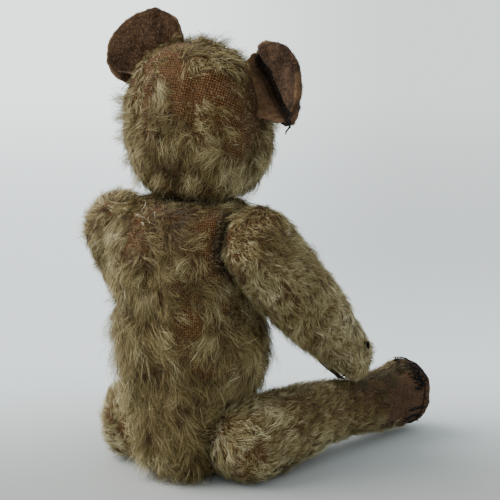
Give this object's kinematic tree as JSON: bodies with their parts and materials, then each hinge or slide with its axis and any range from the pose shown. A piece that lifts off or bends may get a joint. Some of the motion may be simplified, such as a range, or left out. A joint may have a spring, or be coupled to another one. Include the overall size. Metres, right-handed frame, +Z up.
{
  "type": "jointed mohair teddy bear",
  "caption": "Old seated mohair teddy bear with disc-jointed head, arms and legs, worn bare in patches, with brown cloth ears and sewn cloth pads.",
  "frame": {"origin": "centre of the seated bear's box, on the surface that it sits on", "axes": "+Z up; the bear faces -Y; its own right side is at -X"},
  "size_m": [0.1506, 0.1585, 0.2279],
  "materials": {
    "mohair": "matte",
    "ear_cloth": "matte",
    "pad_cloth": "matte",
    "floss": "matte",
    "boot_button": "gloss",
    "wood_wool": "matte",
    "hardboard": "matte",
    "steel": "satin"
  },
  "bodies": {
    "torso": {"torso_cover": "mohair", "torso_stuffing": "wood_wool", "neck_inner_disc": "hardboard", "neck_inner_washer": "steel", "right_shoulder_inner_disc": "hardboard", "right_shoulder_inner_washer": "steel", "left_shoulder_inner_disc": "hardboard", "left_shoulder_inner_washer": "steel", "right_hip_inner_disc": "hardboard", "right_hip_inner_washer": "steel", "left_hip_inner_disc": "hardboard", "left_hip_inner_washer": "steel"},
    "head": {"head_cover": "mohair", "head_stuffing": "wood_wool", "left_ear": "ear_cloth", "right_ear": "ear_cloth", "left_eye": "boot_button", "right_eye": "boot_button", "nose_stitching": "floss", "mouth_stitching": "floss", "neck_outer_disc": "hardboard", "neck_outer_washer": "steel", "neck_cotter_pin": "steel"},
    "right_arm": {"right_arm_cover": "mohair", "right_arm_stuffing": "wood_wool", "right_paw_pad": "pad_cloth", "right_shoulder_outer_disc": "hardboard", "right_shoulder_outer_washer": "steel", "right_shoulder_cotter_pin": "steel"},
    "right_leg": {"right_leg_cover": "mohair", "right_leg_stuffing": "wood_wool", "right_foot_pad": "pad_cloth", "right_hip_outer_disc": "hardboard", "right_hip_outer_washer": "steel", "right_hip_cotter_pin": "steel"},
    "left_arm": {"left_arm_cover": "mohair", "left_arm_stuffing": "wood_wool", "left_paw_pad": "pad_cloth", "left_shoulder_outer_disc": "hardboard", "left_shoulder_outer_washer": "steel", "left_shoulder_cotter_pin": "steel"},
    "left_leg": {"left_leg_cover": "mohair", "left_leg_stuffing": "wood_wool", "left_foot_pad": "pad_cloth", "left_hip_outer_disc": "hardboard", "left_hip_outer_washer": "steel", "left_hip_cotter_pin": "steel"}
  },
  "joints": [
    {"name": "neck", "type": "hinge", "parent": "torso", "child": "head", "pos_m": [0, 0.0402, 0.1385], "axis": [0, 0.0698, 0.9976], "continuous": true},
    {"name": "right_shoulder", "type": "hinge", "parent": "torso", "child": "right_arm", "pos_m": [-0.031, 0.0492, 0.1195], "axis": [-0.9956, 0.0871, -0.0349], "range_deg": [0, 85]},
    {"name": "left_shoulder", "type": "hinge", "parent": "torso", "child": "left_arm", "pos_m": [0.031, 0.0492, 0.1195], "axis": [-0.9956, -0.0871, 0.0349], "range_deg": [0, 85]},
    {"name": "right_hip", "type": "hinge", "parent": "torso", "child": "right_leg", "pos_m": [-0.021, 0.0422, 0.0212], "axis": [0.9824, -0.1732, 0.0698], "range_deg": [0, 150]},
    {"name": "left_hip", "type": "hinge", "parent": "torso", "child": "left_leg", "pos_m": [0.021, 0.0422, 0.0212], "axis": [0.9824, 0.1732, -0.0698], "range_deg": [0, 150]}
  ]
}
